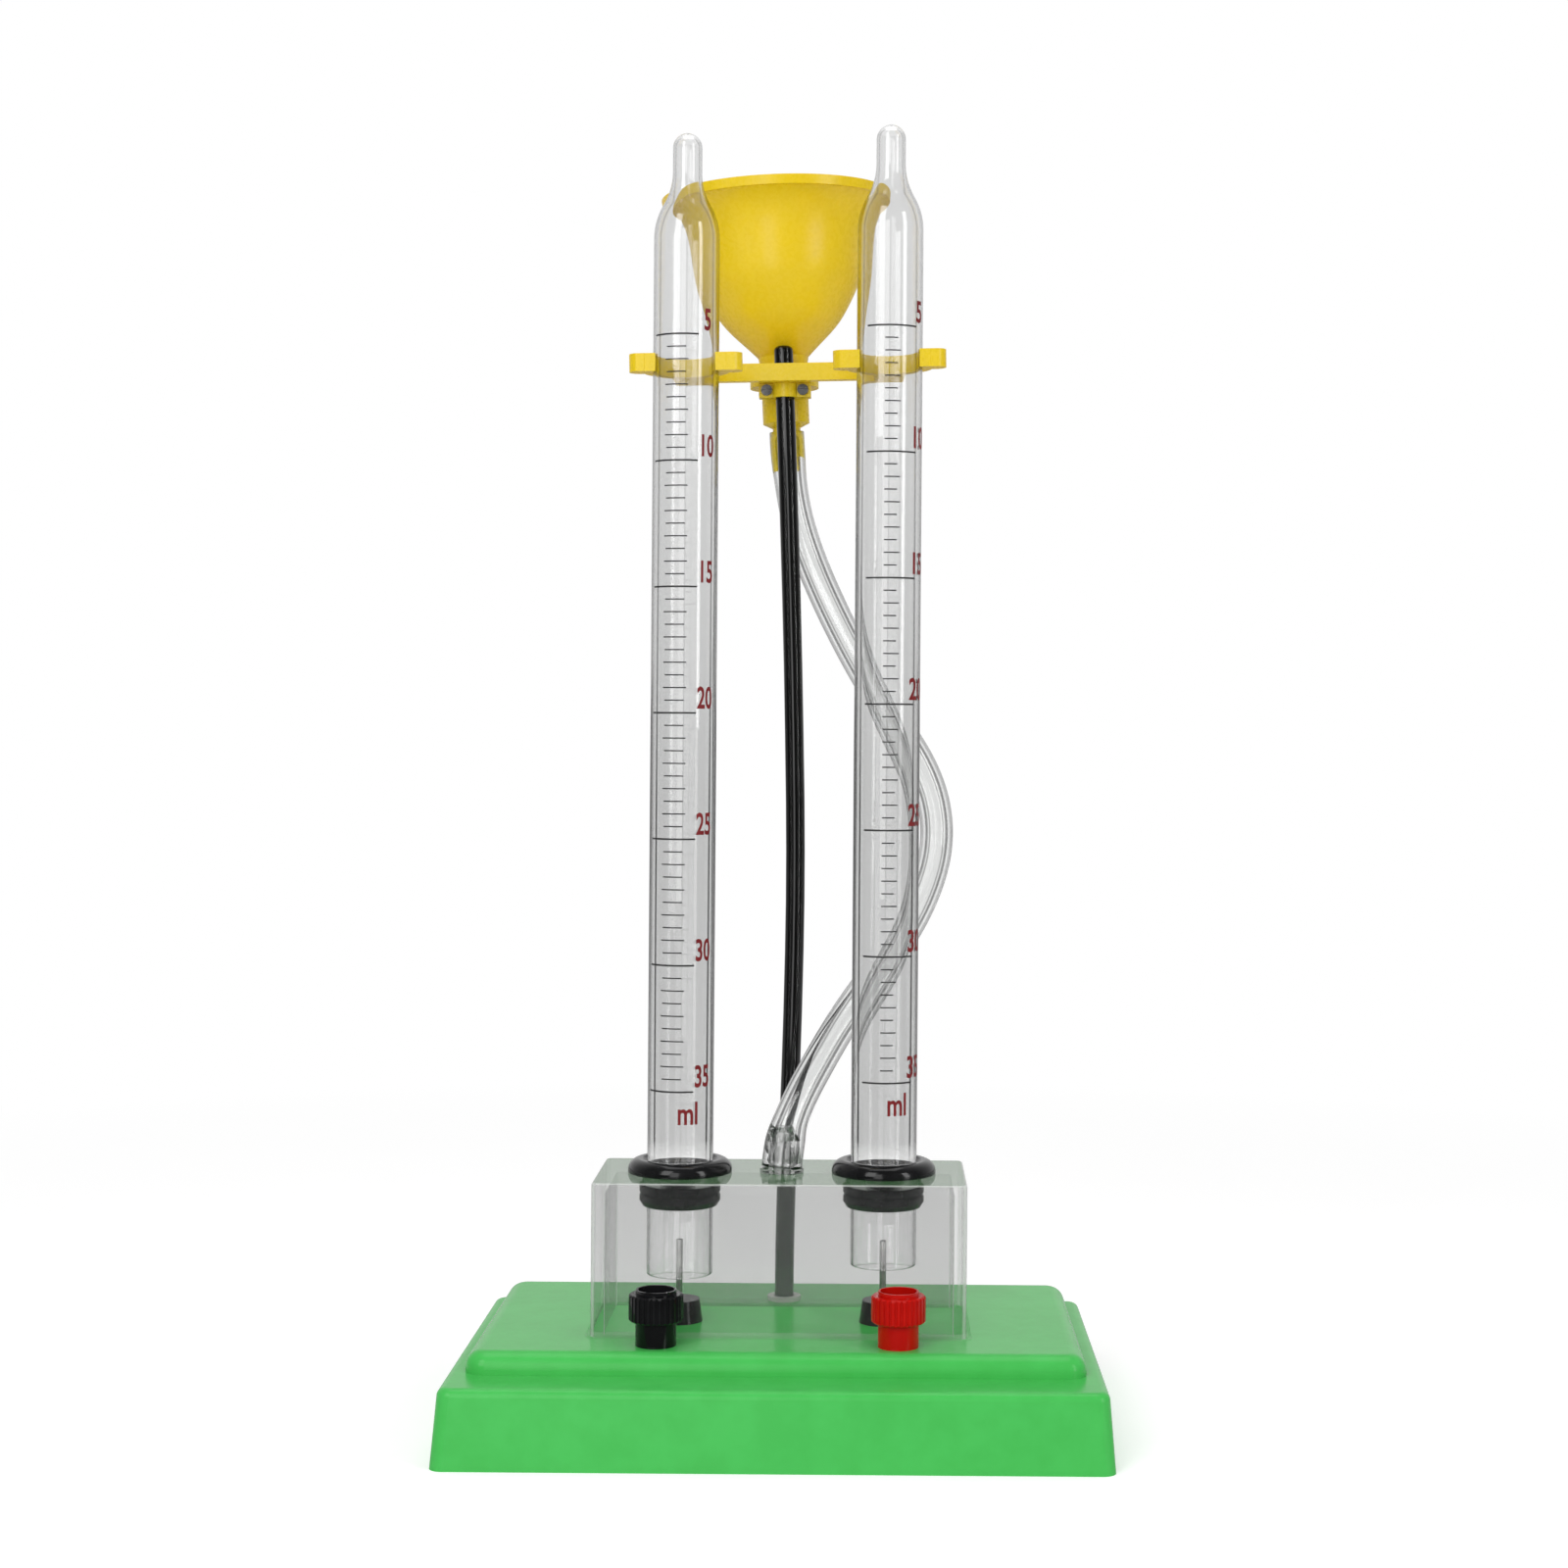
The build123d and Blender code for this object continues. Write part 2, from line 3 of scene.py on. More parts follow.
import bpy
import bmesh
import json
from math import asin, ceil, cos, degrees, pi, radians, sin
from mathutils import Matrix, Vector


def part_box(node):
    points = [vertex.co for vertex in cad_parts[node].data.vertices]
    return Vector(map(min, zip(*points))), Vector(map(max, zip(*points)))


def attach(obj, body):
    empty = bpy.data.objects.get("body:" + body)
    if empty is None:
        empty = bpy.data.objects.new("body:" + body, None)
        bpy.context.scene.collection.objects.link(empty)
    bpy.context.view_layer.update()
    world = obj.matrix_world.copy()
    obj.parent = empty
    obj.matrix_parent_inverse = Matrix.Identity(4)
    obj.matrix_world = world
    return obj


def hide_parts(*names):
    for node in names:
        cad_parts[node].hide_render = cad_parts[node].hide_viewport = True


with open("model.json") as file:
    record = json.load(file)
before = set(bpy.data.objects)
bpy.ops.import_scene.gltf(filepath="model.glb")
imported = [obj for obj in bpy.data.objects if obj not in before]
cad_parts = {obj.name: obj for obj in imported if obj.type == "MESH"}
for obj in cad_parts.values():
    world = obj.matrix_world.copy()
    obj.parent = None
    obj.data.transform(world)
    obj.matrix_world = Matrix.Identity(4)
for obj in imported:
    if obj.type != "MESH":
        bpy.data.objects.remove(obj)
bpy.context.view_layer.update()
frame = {"nodes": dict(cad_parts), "record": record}
NODES = frame["nodes"]
MM = 0.001
SIDES = ("left", "right")


def middle(node):
    """Centre of a node's box."""
    low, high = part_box(node)
    return (low + high) / 2


TUBE_Y = middle("left_tube").y

# Sizes of the gas tubes, as the model has them
TUBE_R = 8.1 * MM
TUBE_LENGTH = 280 * MM
GLASS_WALL = 0.9 * MM
TIP_R = 3.6 * MM
TIP_LENGTH = 9.5 * MM
SHOULDER_LENGTH = 16.5 * MM


# ---------------------------------------------------------------------------- camera
CAMERA_X = 21 * MM
CAMERA_DISTANCE = 638 * MM
CAMERA_HEIGHT = 169.3 * MM
CAMERA_LENS = 59.6
CAMERA_LEVEL = 90
CAMERA_ROLL = -0.43
CAMERA_SHIFT = (-0.05525, -0.0366)


def make_camera():
    """Level camera in front of the tubes, a little to the right and slightly rolled."""
    data = bpy.data.cameras.new("camera")
    data.lens = CAMERA_LENS
    data.shift_x, data.shift_y = CAMERA_SHIFT
    camera = bpy.data.objects.new("camera", data)
    camera.location = (CAMERA_X, TUBE_Y - CAMERA_DISTANCE, CAMERA_HEIGHT)
    camera.rotation_euler = (radians(CAMERA_LEVEL), radians(CAMERA_ROLL), 0)
    bpy.context.scene.collection.objects.link(camera)
    bpy.context.scene.camera = camera


make_camera()


# ----------------------------------------------------------------------- node graphs
MIX_SOCKETS = {"RGBA": (6, 7, 2), "FLOAT": (2, 3, 0)}      # first input, second input, output


class Graph:
    """Node tree of a material or the world, with short calls for the nodes used here."""

    def __init__(self, owner):
        owner.use_nodes = True
        self.nodes = owner.node_tree.nodes
        self.links = owner.node_tree.links

    def feed(self, node, inputs):
        """Link sockets of a node to other outputs, or set them to plain values."""
        for key, source in inputs.items():
            if isinstance(source, bpy.types.NodeSocket):
                self.links.new(source, node.inputs[key])
            else:
                node.inputs[key].default_value = source

    def add(self, kind, inputs, output, **settings):
        """Output of a new node with these inputs and settings."""
        node = self.nodes.new("ShaderNode" + kind)
        for key, value in settings.items():
            setattr(node, key, value)
        self.feed(node, inputs)
        return node.outputs[output]

    def place(self, kind):
        """Coordinates of the shaded point."""
        return self.add("TexCoord", {}, kind)

    def axis(self, vector, name):
        """One component of a vector."""
        return self.add("SeparateXYZ", {"Vector": vector}, name)

    def facing(self):
        """0 where the surface is seen straight on, 1 where it is seen edge-on."""
        return self.add("LayerWeight", {}, "Facing")

    def math(self, operation, first, second):
        """Sum, product or other result of two values."""
        return self.add("Math", {0: first, 1: second}, "Value", operation=operation)

    def vector_math(self, operation, inputs, output="Vector"):
        """Result of a vector operation."""
        return self.add("VectorMath", dict(enumerate(inputs)), output, operation=operation)

    def noise(self, scale, detail=3.0):
        """Noise in object space."""
        inputs = {"Vector": self.place("Object"), "Scale": scale, "Detail": detail}
        return self.add("TexNoise", inputs, "Fac")

    def remap(self, value, low, high, out_low=0, out_high=1, interpolation="LINEAR"):
        """Value mapped from one range to another."""
        inputs = {"Value": value, "From Min": low, "From Max": high, "To Min": out_low, "To Max": out_high}
        return self.add("MapRange", inputs, "Result", interpolation_type=interpolation)

    def ramp(self, factor, stops):
        """Colour ramp through stops of (place, colour)."""
        node = self.nodes.new("ShaderNodeValToRGB")
        elements = node.color_ramp.elements
        while len(elements) < len(stops):
            elements.new(0.5)
        for element, (place, colour) in zip(elements, stops):
            element.position = place
            element.color = (*colour, 1)
        self.feed(node, {"Fac": factor})
        return node.outputs["Color"]

    def two_tone(self, factor, dark, light):
        """Colour between two tones."""
        return self.ramp(factor, ((0, dark), (1, light)))

    def mix(self, kind, factor, first, second, blend="MIX"):
        """Blend of two colours or of two values."""
        a, b, output = MIX_SOCKETS[kind]
        inputs = {"Factor": factor, a: first, b: second}
        return self.add("Mix", inputs, output, data_type=kind, blend_type=blend)

    def multiply(self, first, second):
        """Product of two colours."""
        return self.mix("RGBA", 1.0, first, second, "MULTIPLY")

    def bump(self, height, strength, depth):
        """Normal with fine relief."""
        return self.add("Bump", {"Height": height, "Strength": strength, "Distance": depth}, "Normal")

    def light_path(self, *names):
        """1 for rays of any of the named kinds."""
        total = self.add("LightPath", {}, names[0])
        for name in names[1:]:
            total = self.math("MAXIMUM", total, self.add("LightPath", {}, name))
        return total

    def mix_shaders(self, factor, first, second):
        """Blend of two shaders."""
        return self.add("MixShader", {"Fac": factor, 1: first, 2: second}, "Shader")


def new_material(name):
    """Node material with its graph and its Principled shader."""
    material = bpy.data.materials.new(name)
    graph = Graph(material)
    return material, graph, graph.nodes["Principled BSDF"]


def set_surface(graph, shader):
    """Make a shader the material's surface."""
    graph.feed(graph.nodes["Material Output"], {"Surface": shader})


def let_light_through(graph, shader, shade_tint):
    """Make a shader the surface for all rays but shadow rays, which pass with a tint."""
    clear = graph.add("BsdfTransparent", {"Color": (*shade_tint, 1)}, "BSDF")
    set_surface(graph, graph.mix_shaders(graph.light_path("Is Shadow Ray"), shader, clear))


# -------------------------------------------------------------------- opaque materials
BROAD_SHARE = 1 / 6
BROAD_CONTRAST, FINE_CONTRAST = (0.35, 0.65), (0.3, 0.7)
SOLID_DETAIL = 4.0
SOLID_GLOSS_SPREAD = (0.85, 1.2)
SOLID_RELIEF = 0.3


def solid_material(name, dark, light, roughness, grain, depth, specular=0.5, metallic=0.0):
    """Opaque material with mottled colour, uneven gloss and fine relief."""
    material, graph, shader = new_material(name)
    broad = graph.remap(graph.noise(grain * BROAD_SHARE), *BROAD_CONTRAST)
    fine = graph.noise(grain, SOLID_DETAIL)
    spread = [roughness * share for share in SOLID_GLOSS_SPREAD]
    graph.feed(shader, {
        "Base Color": graph.two_tone(broad, dark, light),
        "Roughness": graph.remap(fine, *FINE_CONTRAST, *spread),
        "Metallic": metallic,
        "Specular IOR Level": specular,
        "Normal": graph.bump(fine, SOLID_RELIEF, depth),
    })
    return material


WAX_GRAIN = (25.0, 900.0)
WAX_GLOSS_SPREAD = (0.9, 1.15)
WAX_RELIEF = (0.2, 0.03 * MM)


def waxy_material(name, dark, light, roughness, through):
    """Waxy moulded plastic that lets some light through."""
    material, graph, shader = new_material(name)
    broad, fine = (graph.noise(grain) for grain in WAX_GRAIN)
    colour = graph.two_tone(graph.remap(broad, *FINE_CONTRAST), dark, light)
    spread = [roughness * share for share in WAX_GLOSS_SPREAD]
    graph.feed(shader, {
        "Base Color": colour,
        "Roughness": graph.remap(fine, *FINE_CONTRAST, *spread),
        "Normal": graph.bump(fine, *WAX_RELIEF),
    })
    glow = graph.add("BsdfTranslucent", {"Color": colour}, "BSDF")
    set_surface(graph, graph.mix_shaders(through, shader.outputs["BSDF"], glow))
    return material


# -------------------------------------------------------------------- clear materials
CLEAR_DETAIL = 2.0
CLEAR_RELIEF = 0.15
WALL_GREEN = 1.005
WALL_MOTTLE = ((0.97, 0.97, 0.97), (1, 1, 1))
WALL_COAT, WALL_COAT_ROUGHNESS = 0.2, 0.02
WALL_SHADOW = (0.95, 0.95, 0.95)
UNSHADED_GLASS = (0.98, 0.98, 0.98, 1)

# Shares of a gas tube's own box: the shoulder's heights, and the radius half-way through the glass
SHOULDER = (1 - (TIP_LENGTH + SHOULDER_LENGTH) / TUBE_LENGTH, 1 - TIP_LENGTH / TUBE_LENGTH)
HALFWAY = ((TUBE_R - GLASS_WALL / 2) / TUBE_R, (TIP_R - GLASS_WALL / 2) / TUBE_R)
HALFWAY_BAND = 0.01

# Painted shade of the gas tubes: they are clear inside the tank, greyest above it and paler toward their tips
TANK_HEIGHTS, TANK_SHADE_SHARES = (60 * MM, 68 * MM), (0, 1)
SHADE_HEIGHTS, SHADE_SHARES = (150 * MM, 310 * MM), (1.0, 0.55)


def outer_wall(graph):
    """1 on the outer wall of a gas tube and 0 in its bore."""
    place = graph.place("Generated")
    centred = graph.vector_math("MULTIPLY_ADD", (place, (2, 2, 0), (-1, -1, 0)))
    radius = graph.vector_math("LENGTH", (centred,), "Value")
    halfway = graph.remap(graph.axis(place, "Z"), *SHOULDER, *HALFWAY, "SMOOTHSTEP")
    return graph.remap(graph.math("SUBTRACT", radius, halfway), -HALFWAY_BAND, HALFWAY_BAND)


def by_height(graph, heights, shares):
    """Goes from one share to another between two heights of the piece."""
    return graph.remap(graph.axis(graph.place("Object"), "Z"), *heights, *shares)


def wall_material(name, stops, roughness, ior, grain, depth, gas_tube=False):
    """Clear wall: refracts, with shade painted into its colour by how edge-on it is seen, and casts a light
    shadow.
    """
    material, graph, shader = new_material(name)
    fine = graph.noise(grain, CLEAR_DETAIL)
    # Painted shade: the ramp darkens the wall by how edge-on it is seen and draws dark lines along the bore
    # and the edge
    shade_tint = graph.ramp(graph.facing(), [(place, (level, level * WALL_GREEN, level)) for place, level in stops])
    colour = graph.multiply(shade_tint, graph.two_tone(fine, *WALL_MOTTLE))
    if gas_tube:
        # The painted shade goes on the outer wall only, is left out inside the tank and fades toward the tips
        tank_shade_share = by_height(graph, TANK_HEIGHTS, TANK_SHADE_SHARES)
        tip_shade_share = by_height(graph, SHADE_HEIGHTS, SHADE_SHARES)
        for share in (outer_wall(graph), tank_shade_share, tip_shade_share):
            colour = graph.mix("RGBA", share, UNSHADED_GLASS, colour)
    graph.feed(shader, {
        "Base Color": colour,
        "Coat Weight": WALL_COAT,
        "Coat Roughness": WALL_COAT_ROUGHNESS,
        "Transmission Weight": 1.0,
        "Roughness": roughness,
        "IOR": ior,
        "Normal": graph.bump(fine, CLEAR_RELIEF, depth),
    })
    let_light_through(graph, shader.outputs["BSDF"], WALL_SHADOW)
    return material


# Painted light: upward faces of a sheet take the green of the base below, which the clear sheet carries up
SHEET_TOP_PAINTED_LIGHT = (0.085, 0.20, 0.085)
# Painted highlight: the rounded edges of a sheet are pale
SHEET_EDGE_PAINTED_HIGHLIGHT = (0.62, 0.66, 0.62, 1)
SHEET_MOTTLE = ((0.9, 0.9, 0.9), (1, 1, 1))
SHEET_SHADOW = (1, 1, 1)
# A face counts as level by how far its normal points up, and as rounded where it leans between the axes
LEVEL_RANGE = (0.4, 0.95)
EDGE_RANGE = (0.95, 0.6)
LOW_ANGLE_POWER = 1.5
# Between these places the front's alpha turns into the rear's, so that the veil paints more shade to the rear
FRONT_Y, REAR_Y = TUBE_Y - 10 * MM, TUBE_Y + 10 * MM
# Alpha of upright walls and gloss of all faces, where they are seen edge-on; that alpha paints the upright
# walls darker with the veil
SIDE_ALPHA, SIDE_GLOSS = 0.72, 0.05


def sheet_faces(graph):
    """Shares of upward faces, of faces seen from outside and of rounded edges."""
    normal = graph.add("NewGeometry", {}, "Normal")
    level = graph.remap(graph.axis(normal, "Z"), *LEVEL_RANGE)
    outer = graph.remap(graph.add("NewGeometry", {}, "Backfacing"), 0, 1, 1, 0)
    squares = graph.vector_math("MULTIPLY", (normal, normal))
    flatness = graph.vector_math("DOT_PRODUCT", (squares, squares), "Value")
    return level, outer, graph.remap(flatness, *EDGE_RANGE)


def sheet_alpha(graph, alphas, low_angle, level, top, edge):
    """Alpha by depth, by the angle the sheet is seen at and on its rounded edges: how strongly the painted
    shade, light and highlights show.
    """
    front, rear, low, rounded = alphas
    straight_alpha = graph.remap(graph.axis(graph.place("Object"), "Y"), FRONT_Y, REAR_Y, front, rear)
    side_alpha = graph.remap(level, 0, 1, SIDE_ALPHA, front)
    low_alpha = graph.mix("FLOAT", top, side_alpha, low)
    alpha = graph.mix("FLOAT", low_angle, straight_alpha, low_alpha)
    return graph.mix("FLOAT", edge, alpha, rounded)


def sheet_material(name, grey, alphas, roughness, gloss, grain, depth):
    """Clear moulded sheet: see-through without bending light, with a grey veil of painted shade that is
    denser to the rear, painted green light on its upward faces and painted highlights on its rounded edges.

    The alphas are those of the front, of the rear, of the top at a low angle and of the edges.
    """
    material, graph, shader = new_material(name)
    fine = graph.noise(grain, CLEAR_DETAIL)
    level, outer, edge = sheet_faces(graph)
    top = graph.math("MULTIPLY", level, outer)
    low_angle = graph.math("POWER", graph.facing(), LOW_ANGLE_POWER)
    # Painted green light on upward faces and painted highlights on rounded edges, over the veil
    base = graph.mix("RGBA", edge, graph.two_tone(top, grey, SHEET_TOP_PAINTED_LIGHT), SHEET_EDGE_PAINTED_HIGHLIGHT)
    graph.feed(shader, {
        "Base Color": graph.multiply(base, graph.two_tone(fine, *SHEET_MOTTLE)),
        "Alpha": sheet_alpha(graph, alphas, low_angle, level, top, edge),
        "Roughness": roughness,
        "Normal": graph.bump(fine, CLEAR_RELIEF, depth),
    })
    skin = graph.add("BsdfGlossy", {"Roughness": roughness}, "BSDF")
    skin_share = graph.math("MULTIPLY", graph.remap(low_angle, 0, 1, gloss, SIDE_GLOSS), outer)
    let_light_through(graph, graph.mix_shaders(skin_share, shader.outputs["BSDF"], skin), SHEET_SHADOW)
    return material


# ---------------------------------------------------------------------- the finishes
# Stops of (how edge-on the wall is seen, level of painted shade): the pale stops paint the shade of the
# surroundings seen through the wall, and the dark ones paint the dark lines along its bore and its edge
GLASS_PAINTED_SHADE = (
    (0, 0.56), (0.32, 0.56), (0.365, 0.52), (0.38, 0.01), (0.43, 0.01),
    (0.445, 0.54), (0.60, 0.54), (0.64, 0.1), (1, 0.1),
)
HOSE_PAINTED_SHADE = (
    (0, 0.87), (0.15, 0.87), (0.20, 0.30), (0.26, 0.30), (0.32, 0.91), (0.6, 0.80), (0.8, 0.10), (1, 0.04),
)
BARB_PAINTED_SHADE = ((0, 0.72), (0.5, 0.62), (1, 0.35))

GREEN = solid_material(
    "green_abs", (0.062, 0.47, 0.088), (0.068, 0.50, 0.098),
    roughness=0.22, grain=900.0, depth=0.02 * MM, specular=0.18,
)
RUBBER = solid_material(
    "black_rubber", (0.006, 0.006, 0.0065), (0.011, 0.011, 0.012),
    roughness=0.13, grain=1500.0, depth=0.02 * MM, specular=0.3,
)
ROD = solid_material(
    "rod_black", (0.002, 0.002, 0.002), (0.004, 0.004, 0.004),
    roughness=0.05, grain=700.0, depth=0.001 * MM, specular=0.45,
)
PALE = solid_material(
    "pale_plastic", (0.60, 0.60, 0.56), (0.70, 0.70, 0.66),
    roughness=0.4, grain=900.0, depth=0.03 * MM,
)
BLACK = solid_material(
    "black_gloss", (0.005, 0.005, 0.0055), (0.009, 0.009, 0.010),
    roughness=0.08, grain=900.0, depth=0.01 * MM, specular=0.25,
)
RED = solid_material(
    "red_gloss", (0.46, 0.004, 0.002), (0.52, 0.006, 0.003),
    roughness=0.16, grain=900.0, depth=0.01 * MM, specular=0.22,
)
STEEL = solid_material(
    "steel", (0.32, 0.32, 0.32), (0.48, 0.48, 0.47),
    roughness=0.3, grain=2500.0, depth=0.03 * MM, metallic=1.0,
)
DARK_STEEL = solid_material(
    "dark_steel", (0.06, 0.06, 0.06), (0.12, 0.12, 0.12),
    roughness=0.3, grain=2500.0, depth=0.03 * MM, metallic=1.0,
)
BRASS = solid_material(
    "brass", (0.60, 0.40, 0.16), (0.74, 0.53, 0.26),
    roughness=0.25, grain=1500.0, depth=0.02 * MM, metallic=1.0,
)
INK = solid_material(
    "black_ink", (0.012, 0.012, 0.012), (0.03, 0.03, 0.03),
    roughness=0.45, grain=2500.0, depth=0.01 * MM,
)
RED_INK = solid_material(
    "red_ink", (0.17, 0.012, 0.014), (0.21, 0.018, 0.020),
    roughness=0.45, grain=2500.0, depth=0.01 * MM, specular=0.2,
)
YELLOW = waxy_material(
    "yellow_plastic", (0.86, 0.655, 0.014), (0.90, 0.71, 0.020), roughness=0.27, through=0.3,
)
GLASS = wall_material(
    "tube_glass", GLASS_PAINTED_SHADE, roughness=0.0, ior=1.47, grain=60.0, depth=0.01 * MM, gas_tube=True,
)
HOSE = wall_material("clear_hose", HOSE_PAINTED_SHADE, roughness=0.02, ior=1.4, grain=200.0, depth=0.02 * MM)
BARB = wall_material("clear_barb", BARB_PAINTED_SHADE, roughness=0.1, ior=1.49, grain=300.0, depth=0.03 * MM)
# The tank's sheet: a grey veil of painted shade, denser to the rear
ACRYLIC = sheet_material(
    "clear_acrylic", (0.18, 0.185, 0.18), alphas=(0.06, 0.27, 1.0, 0.5),
    roughness=0.03, gloss=0.01, grain=60.0, depth=0.01 * MM,
)
CEMENT = sheet_material(
    "cement", (0.30, 0.42, 0.30), alphas=(0.03, 0.05, 0.3, 0.1),
    roughness=0.2, gloss=0.02, grain=900.0, depth=0.1 * MM,
)

SLOT_MATERIALS = {
    "green_plastic": GREEN, "clear_acrylic": ACRYLIC, "cement": CEMENT, "tube_glass": GLASS,
    "black_rubber": RUBBER, "steel": STEEL, "brass": BRASS, "rod_black": ROD, "pale_plastic": PALE,
    "yellow_plastic": YELLOW, "clear_hose": HOSE, "clear_barb": BARB, "black_gloss": BLACK,
    "red_gloss": RED,
}


def paint_nodes():
    """Give every CAD node the finish of its slot, and the strap's screws a darker steel."""
    for part in frame["record"]["subparts"]:
        mesh = NODES[part["node"]].data
        mesh.materials.clear()
        mesh.materials.append(SLOT_MATERIALS[part["material_slot"]])
    NODES["strap_screws"].data.materials[0] = DARK_STEEL


paint_nodes()


# ---------------------------------------------------------------------- mesh helpers
def add_piece(name, mesh, body):
    """New piece that rides on a body."""
    piece = bpy.data.objects.new(name, mesh)
    bpy.context.scene.collection.objects.link(piece)
    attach(piece, body)
    return piece


def add_mesh(name, points, faces, material, body, smooth=True):
    """New piece from points and faces, with its faces turned outward."""
    mesh = bpy.data.meshes.new(name)
    mesh.from_pydata(points, [], faces)
    mesh.validate()
    mesh.materials.append(material)
    turned = bmesh.new()
    turned.from_mesh(mesh)
    bmesh.ops.recalc_face_normals(turned, faces=turned.faces)
    turned.to_mesh(mesh)
    turned.free()
    mesh.polygons.foreach_set("use_smooth", [smooth] * len(mesh.polygons))
    return add_piece(name, mesh, body)


def ring_faces(rows, columns):
    """Quads over rows of points that close both ways."""
    faces = []
    for i in range(rows):
        for j in range(columns):
            a, b = i * columns, (i + 1) % rows * columns
            c, d = j, (j + 1) % columns
            faces.append((a + c, a + d, b + d, b + c))
    return faces


def arc(centre_r, centre_z, radius, start, end, count):
    """Points (radius, height) along an arc, angles in degrees from the radial direction."""
    steps = [radians(start + (end - start) * i / count) for i in range(count + 1)]
    return [(centre_r + radius * cos(a), centre_z + radius * sin(a)) for a in steps]


# ------------------------------------------------------------------------------ hose
# Chosen route from the funnel's stem to the barb on the tank: x, y behind the tubes, z, in mm
HOSE_POINTS = [
    (-1.3, 34.2, 245.3),
    (-0.6, 34.2, 231.5),
    (4.0, 32.6, 214.0),
    (14.2, 28.6, 192.0),
    (26.3, 25.2, 171.5),
    (36.4, 23.8, 155.5),
    (38.8, 23.2, 140.0),
    (34.3, 22.6, 124.5),
    (25.0, 20.8, 109.5),
    (15.3, 15.6, 96.5),
    (8.6, 8.8, 85.5),
    (3.3, 3.2, 75.8),
    (0.5, 0.5, 67.6),
    (0.0, 0.0, 61.0),
]
HOSE_R = 4.15 * MM
HOSE_BORE_R = 2.75 * MM
HOSE_SWELL_FOOT = 0.85 * MM
HOSE_SWELL_TOP = 0.35 * MM
HOSE_FOOT_GRIP = 9.5 * MM
HOSE_TOP_GRIP = 10 * MM
HOSE_SEGMENTS = 48
HOSE_STEPS = 10
SWELL_POWER = 6


def hose_line():
    """Centre line of the hose, read from its NURBS route."""
    data = bpy.data.curves.new("hose_route", "CURVE")
    data.dimensions = "3D"
    data.resolution_u = HOSE_STEPS
    spline = data.splines.new("NURBS")
    spline.points.add(len(HOSE_POINTS) - 1)
    for point, (x, y, z) in zip(spline.points, HOSE_POINTS):
        point.co = (x * MM, TUBE_Y + y * MM, z * MM, 1)
    spline.order_u = 3
    spline.use_endpoint_u = True
    route = bpy.data.objects.new("hose_route", data)
    mesh = bpy.data.meshes.new_from_object(route)
    line = [v.co.copy() for v in mesh.vertices]
    bpy.data.objects.remove(route)
    return line


def swell(distance, grip, amount):
    """Extra radius where the hose is stretched over a spigot."""
    return amount / (1 + (distance / grip) ** SWELL_POWER)


def sweep_rings(line, radii):
    """A ring of points about each point of a line, with a frame that doesn't twist."""
    rings, side = [], Vector((1, 0, 0))
    for i, (here, r) in enumerate(zip(line, radii)):
        ahead = line[min(i + 1, len(line) - 1)] - line[max(i - 1, 0)]
        ahead.normalize()
        side = (side - ahead * side.dot(ahead)).normalized()
        up = ahead.cross(side)
        angles = [2 * pi * j / HOSE_SEGMENTS for j in range(HOSE_SEGMENTS)]
        rings.append([here + side * (r * cos(a)) + up * (r * sin(a)) for a in angles])
    return rings


def make_hose():
    """Hollow hose, swollen over the funnel stem and the barb."""
    line = hose_line()
    along = [0.0]
    for a, b in zip(line, line[1:]):
        along.append(along[-1] + (b - a).length)
    total = along[-1]
    extras = []
    for distance in along:
        top = swell(distance, HOSE_TOP_GRIP, HOSE_SWELL_TOP)
        extras.append(top + swell(total - distance, HOSE_FOOT_GRIP, HOSE_SWELL_FOOT))
    outer = sweep_rings(line, [HOSE_R + extra for extra in extras])
    inner = sweep_rings(line, [HOSE_BORE_R + extra for extra in extras])
    rings = outer + inner[::-1]
    points = [point for ring in rings for point in ring]
    faces = ring_faces(len(rings), HOSE_SEGMENTS)
    hose = add_mesh("clear_hose_tube", points, faces, HOSE, "root")
    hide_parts("hose")


make_hose()


# ------------------------------------------------------------------------- clear tank
TANK_LIFT = 0.04 * MM


def lifted_copy(name, node):
    """Copy of a clear node whose foot stands just off the platform, so that light gets under it."""
    mesh = NODES[node].data.copy()
    mesh.name = name
    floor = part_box(node)[0].z
    for vertex in mesh.vertices:
        if vertex.co.z < floor + TANK_LIFT:
            vertex.co.z += TANK_LIFT
    piece = add_piece(name, mesh, "root")
    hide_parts(node)


lifted_copy("clear_tank_walls", "tank_body")
lifted_copy("cement_bead", "tank_seal")


# ------------------------------------------------------------------------- gas tubes
TUBE_SEGMENTS = 128
ARC_STEPS = 14
RIM_STEPS = 8
DOME_END = 89.5


def tube_side(inset, bottom, top):
    """Profile of one side of the glass, from the foot to just short of the axis."""
    body_r, end_r = TUBE_R - inset, TIP_R - inset
    tip_low = top - TIP_LENGTH
    low = tip_low - SHOULDER_LENGTH
    drop = body_r - end_r
    bend = (drop ** 2 + SHOULDER_LENGTH ** 2) / (4 * drop)
    turn = degrees(asin(SHOULDER_LENGTH / 2 / bend))
    dome_z = top - inset - end_r
    profile = [(body_r, bottom)]
    profile += arc(body_r - bend, low, bend, 0, turn, ARC_STEPS)
    profile += arc(end_r + bend, tip_low, bend, 180 + turn, 180, ARC_STEPS)[1:]
    profile += arc(0, dome_z, end_r, 0, DOME_END, ARC_STEPS)
    return profile


